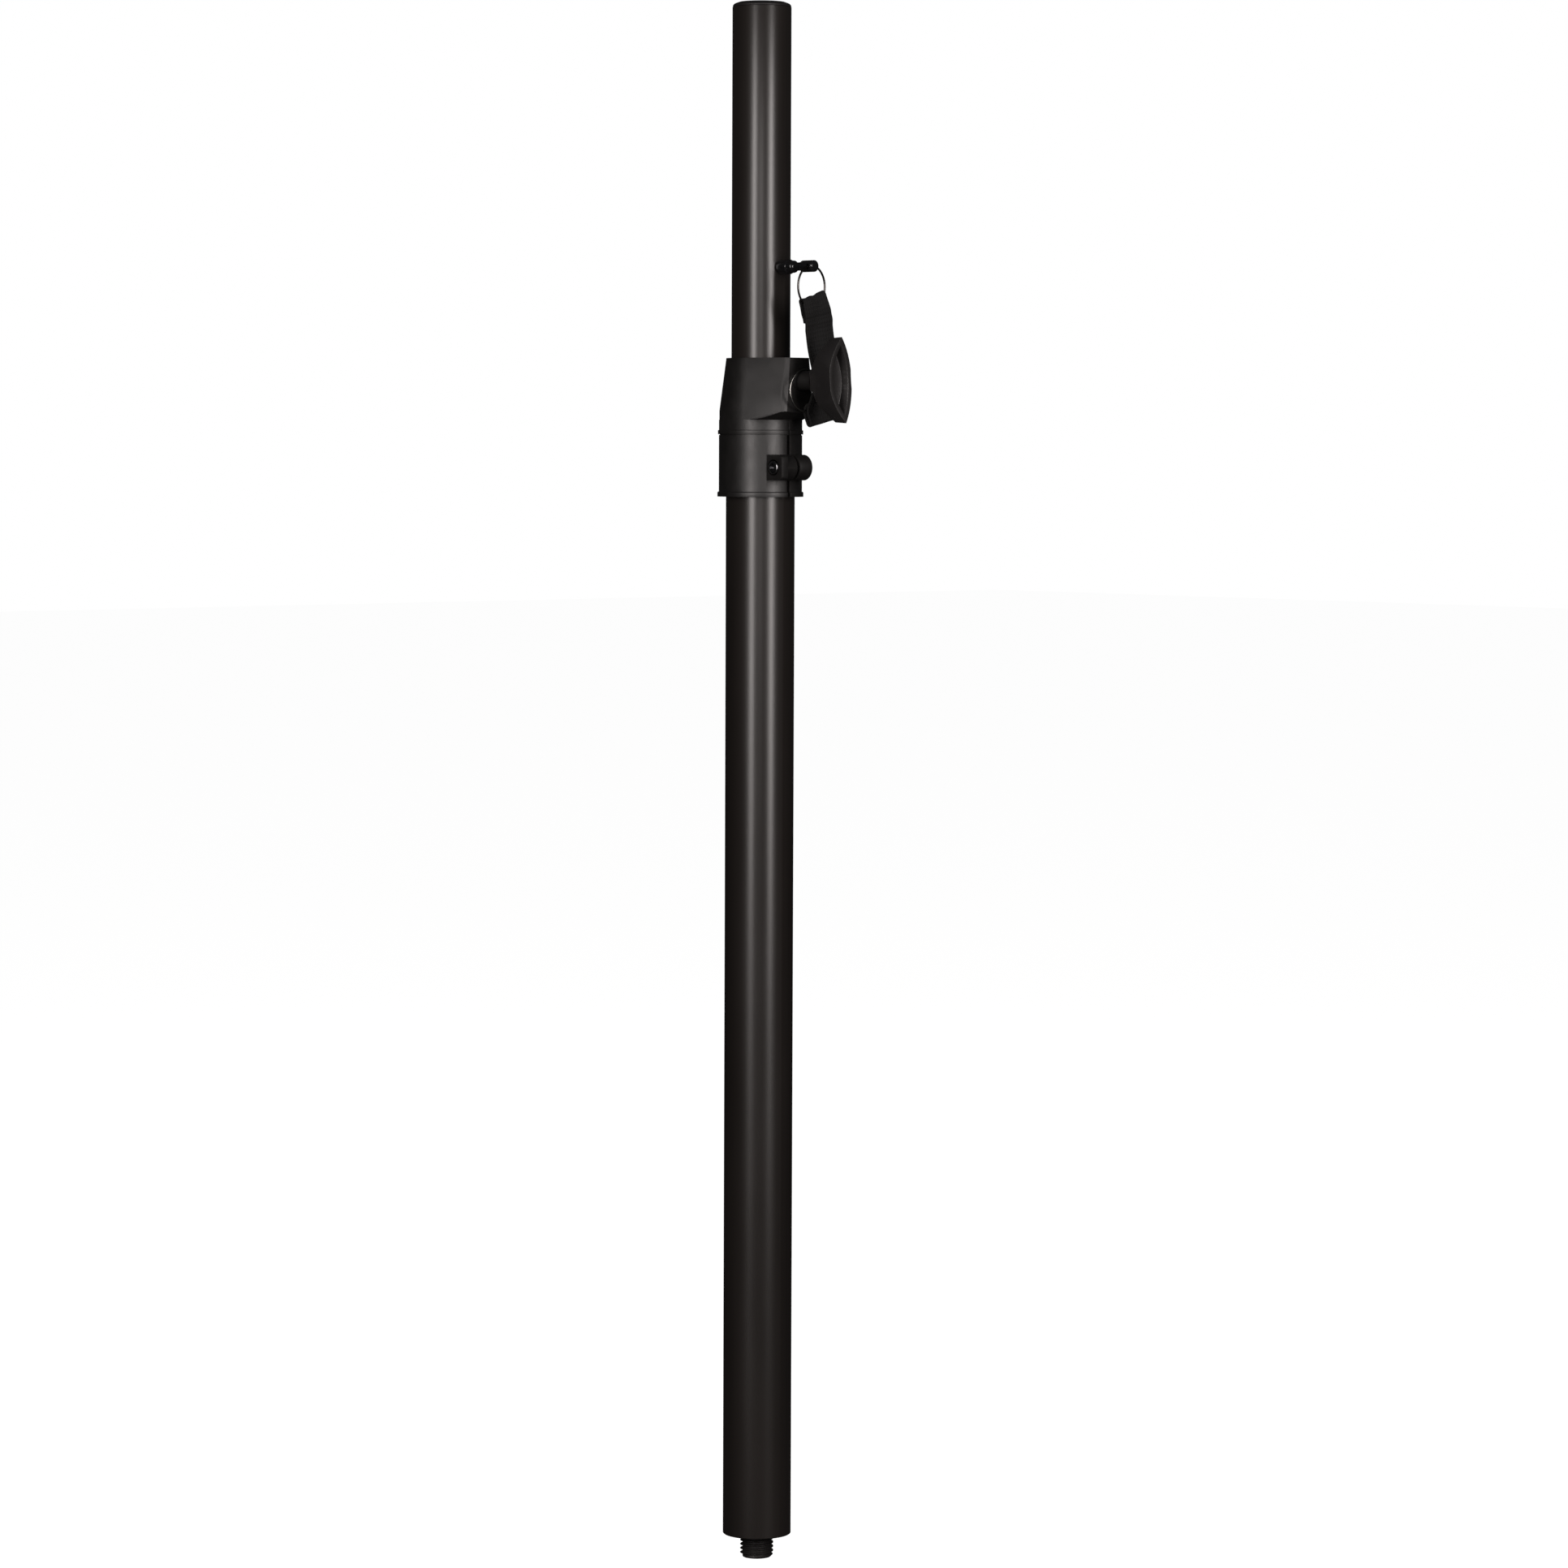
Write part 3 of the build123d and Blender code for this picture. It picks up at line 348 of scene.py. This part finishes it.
def make_strap(material):
    """Webbing folded back on itself round both rings, with its tails sewn to the main run."""
    line, tilt = strap_route()
    samples = 400
    path = [between(line, i / samples) for i in range(samples + 1)]
    turn = [between(tilt, i / samples) for i in range(samples + 1)]
    travelled = [0.0]
    for a, b in zip(path, path[1:]):
        travelled.append(travelled[-1] + (b - a).length)
    total = travelled[-1]

    def at(distance):
        """Place, width direction and outward normal at a distance along the route."""
        distance = min(max(distance, 0), total)
        i = 0
        while i < samples - 1 and travelled[i + 1] < distance:
            i += 1
        f = (distance - travelled[i]) / (travelled[i + 1] - travelled[i])
        place = path[i].lerp(path[i + 1], f)
        along = (path[i + 1] - path[i]).normalized()
        level = math.cos(turn[i].y)
        across = Vector((math.sin(turn[i].y), level * math.cos(turn[i].x), level * math.sin(turn[i].x)))
        return place, across, across.cross(along).normalized()

    def layer_gap(distance, tail):
        """How far a layer stands off the route: wide at a fold, touching along the tail, none beyond it."""
        fade = min(max((distance - WIRE_ROOM) / LAYER_FADE, 0), 1)
        near = 1 - fade * fade * (3 - 2 * fade)
        beyond = min(max((distance - tail) / TAIL_FADE, 0), 1)
        return (TOUCHING + (FOLD_R - TOUCHING) * near) * (1 - beyond * beyond * (3 - 2 * beyond))

    rows = []
    steps = int(UPPER_TAIL / WEB_STEP)
    for k in range(steps, 0, -1):
        distance = UPPER_TAIL * k / steps
        rows.append((distance, layer_gap(distance, 1), 0.0))
    for k in range(9):
        rows.append((0, FOLD_R, math.pi * k / 8))
    steps = int(total / WEB_STEP)
    for k in range(1, steps):
        distance = total * k / steps
        gap = max(layer_gap(distance, UPPER_TAIL), layer_gap(total - distance, LOWER_TAIL))
        rows.append((distance, -gap, 0.0))
    for k in range(9):
        rows.append((total, FOLD_R, math.pi + math.pi * k / 8))
    steps = int(LOWER_TAIL / WEB_STEP)
    for k in range(1, steps + 1):
        distance = LOWER_TAIL * k / steps
        rows.append((total - distance, layer_gap(distance, 1), 0.0))

    vertices = []
    for distance, gap, angle in rows:
        place, across, normal = at(distance)
        ahead = (at(distance + 0.5 * MM)[0] - at(distance - 0.5 * MM)[0]).normalized()
        middle = place + normal * gap
        if angle:
            middle = place + normal * FOLD_R * math.cos(angle) - ahead * FOLD_R * math.sin(angle)
        for j in range(WEB_ACROSS + 1):
            u = j / WEB_ACROSS - 0.5
            ripple = RIPPLE * math.sin(9.0 * u + distance / (7 * MM)) + BOW * math.cos(math.pi * u)
            bunched = math.exp(-((distance / FOLD_BUNCH) ** 2))
            sideways = u * STRAP_WIDTH * (1 - FOLD_NARROW * bunched)
            dip = ahead * (FOLD_SAG * bunched * math.cos(math.pi * u) * (1 + 0.5 * math.sin(14 * u)))
            vertices.append(middle + across * sideways + normal * ripple + dip)
    faces = []
    columns = WEB_ACROSS + 1
    for i in range(len(rows) - 1):
        for j in range(WEB_ACROSS):
            a = i * columns + j
            faces.append((a, a + 1, a + columns + 1, a + columns))
    mesh = bpy.data.meshes.new("strap_webbing")
    mesh.from_pydata(vertices, [], faces)
    length = 0.0
    reach = [0.0]
    for i in range(len(rows) - 1):
        here = i * columns + WEB_ACROSS // 2
        length += (Vector(vertices[here + columns]) - Vector(vertices[here])).length
        reach.append(length)
    weave = mesh.uv_layers.new(name="weave")
    for loop in mesh.loops:
        row, column = divmod(loop.vertex_index, columns)
        weave.data[loop.index].uv = (column / WEB_ACROSS * STRAP_WIDTH, reach[row])
    strap = bpy.data.objects.new("strap_webbing", mesh)
    bpy.context.collection.objects.link(strap)
    body = strap.modifiers.new("thickness", "SOLIDIFY")
    body.thickness = WEB
    body.offset = 0
    edges = strap.modifiers.new("edges", "BEVEL")
    edges.limit_method = "ANGLE"
    edges.angle_limit = math.radians(50)
    edges.width = 0.35 * MM
    edges.segments = 2
    apply_modifiers(strap)
    bpy.ops.object.shade_smooth_by_angle(angle=math.radians(35))
    set_material(strap, material)
    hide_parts("strap")
    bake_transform(strap)
    return strap


def make_plain_tube(material):
    """The inner tube with the shallow marking line of its CAD shape filled in."""
    tube = rounded_copy("inner_tube", "upper_tube", "mast", material, width=0.2 * MM, segments=2)
    low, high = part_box("inner_tube")
    radius = (high[0] - low[0]) / 2
    for vertex in tube.data.vertices:
        reach = math.hypot(vertex.co.x, vertex.co.y)
        if radius - MARK_DEPTH < reach < radius and abs(vertex.co.z - MARK_HEIGHT) < MARK_REACH:
            vertex.co.x *= radius / reach
            vertex.co.y *= radius / reach
    return tube


# ---------------------------------------------------------------- stage, light and camera
CAMERA_AZIMUTH = math.radians(-42)
CAMERA_DISTANCE = 3.08
CAMERA_HEIGHT = 0.668
CAMERA_PITCH = math.radians(3.74)
CAMERA_YAW = math.radians(0.274)  # the pole stands a little left of the middle
CAMERA_ROLL = math.radians(0.22)
CAMERA_LENS = 118.64


def from_pole(azimuth, distance, height):
    return Vector((math.cos(azimuth) * distance, math.sin(azimuth) * distance, height))


def add_camera():
    place = from_pole(CAMERA_AZIMUTH, CAMERA_DISTANCE, CAMERA_HEIGHT)
    toward = CAMERA_AZIMUTH + math.pi - CAMERA_YAW
    aim = Vector((math.cos(toward), math.sin(toward), -math.tan(CAMERA_PITCH))).normalized()
    bpy.ops.object.camera_add(location=place)
    camera = bpy.context.object
    camera.name = "studio_camera"
    turn = aim.to_track_quat("-Z", "Y").to_matrix() @ Matrix.Rotation(CAMERA_ROLL, 3, "Z")
    camera.rotation_euler = turn.to_euler()
    camera.data.lens = CAMERA_LENS
    camera.data.sensor_width = 36
    camera.data.dof.use_dof = False
    camera.data.clip_end = 50
    bpy.context.scene.camera = camera


def add_strip(name, azimuth, distance, height, width, tall, power):
    """A tall soft box that faces the pole."""
    place = from_pole(azimuth, distance, height)
    bpy.ops.object.light_add(type="AREA", location=place)
    light = bpy.context.object
    light.name = name
    light.data.shape = "RECTANGLE"
    light.data.size = width
    light.data.size_y = tall
    light.data.energy = power
    light.data.color = (1.0, 0.94, 0.92)
    aim = Vector((-place.x, -place.y, 0))
    light.rotation_euler = aim.to_track_quat("-Z", "Y").to_euler()


def add_lights():
    left = CAMERA_AZIMUTH - math.radians(28)
    right = CAMERA_AZIMUTH + math.radians(38)
    add_strip("left_box", left, 2.0, 1.0, 0.46, 1.4, 26)
    add_strip("right_box", right, 2.0, 1.0, 0.46, 1.4, 29)
    add_strip("front_fill", CAMERA_AZIMUTH, 3.4, 1.25, 0.9, 1.3, 12)


def camera_only(tree, for_camera, for_others, output):
    """Shows one shader to the camera and a quieter one to reflections and bounces."""
    path = tree.nodes.new("ShaderNodeLightPath")
    mix = tree.nodes.new("ShaderNodeMixShader")
    tree.links.new(path.outputs["Is Camera Ray"], mix.inputs[0])
    tree.links.new(for_others.outputs[0], mix.inputs[1])
    tree.links.new(for_camera.outputs[0], mix.inputs[2])
    tree.links.new(mix.outputs[0], output.inputs["Surface"])


def add_stage():
    world = bpy.data.worlds.new("studio")
    bpy.context.scene.world = world
    world.use_nodes = True
    tree = world.node_tree
    tree.nodes.clear()
    white = tree.nodes.new("ShaderNodeBackground")
    white.inputs["Strength"].default_value = 1.0
    white.inputs["Color"].default_value = (1, 1, 1, 1)
    dim = tree.nodes.new("ShaderNodeBackground")
    dim.inputs["Color"].default_value = (1, 1, 1, 1)
    dim.inputs["Strength"].default_value = 0.02
    camera_only(tree, white, dim, tree.nodes.new("ShaderNodeOutputWorld"))

    bpy.ops.mesh.primitive_plane_add(size=30, location=(0, 0, 0))
    floor = bpy.context.object
    floor.name = "floor"
    material = bpy.data.materials.new("pale_floor")
    material.use_nodes = True
    tree = material.node_tree
    tree.nodes.clear()
    glow = tree.nodes.new("ShaderNodeEmission")
    glow.inputs["Strength"].default_value = 0.97
    lit = tree.nodes.new("ShaderNodeBsdfDiffuse")
    lit.inputs["Color"].default_value = (0.5, 0.5, 0.5, 1)
    pale = tree.nodes.new("ShaderNodeAddShader")
    tree.links.new(glow.outputs[0], pale.inputs[0])
    tree.links.new(lit.outputs[0], pale.inputs[1])
    quiet = tree.nodes.new("ShaderNodeBsdfDiffuse")
    quiet.inputs["Color"].default_value = (0.05, 0.05, 0.05, 1)
    camera_only(tree, pale, quiet, tree.nodes.new("ShaderNodeOutputMaterial"))
    floor.data.materials.append(material)


# ---------------------------------------------------------------- build
deselect()
finish = make_materials()

for node in ("outer_tube", "foot_plug"):
    dress(node, finish["powder_coat"])
for node in ("mouth_bush", "bottom_plug", "lower_bush", "bush_pips", "brake_pad"):
    dress(node, finish["nylon"])
for node in ("clamp_bolt", "clamp_washer", "clamp_nut"):
    dress(node, finish["zinc"])
dress("boss_insert", finish["brass"])
dress("bump_stop", finish["rubber"])
dress("knob_screw", finish["black_oxide"])
# The upper ring takes the nickel that is darkened as painted shade.
dress("pin_ring", finish["shade_darkened_nickel"])
dress("boss_ring", finish["nickel"])

collar = rounded_copy("collar_housing", "collar_moulding", "pole", finish["moulding"])
knob = rounded_copy("knob_body", "wing_knob", "knob", finish["knob_moulding"], width=0.7 * MM)
pin = rounded_copy("locking_pin", "turned_pin", "pin", finish["gloss_black"], width=0.25 * MM)
cap = rounded_copy("top_cap", "end_cap", "mast", finish["cap_moulding"], width=0.5 * MM)
make_plain_tube(finish["powder_coat"])
make_thread(finish["black_oxide"])
make_strap(finish["webbing"])

bpy.context.scene.view_settings.view_transform = "Standard"
add_stage()
add_lights()
add_camera()

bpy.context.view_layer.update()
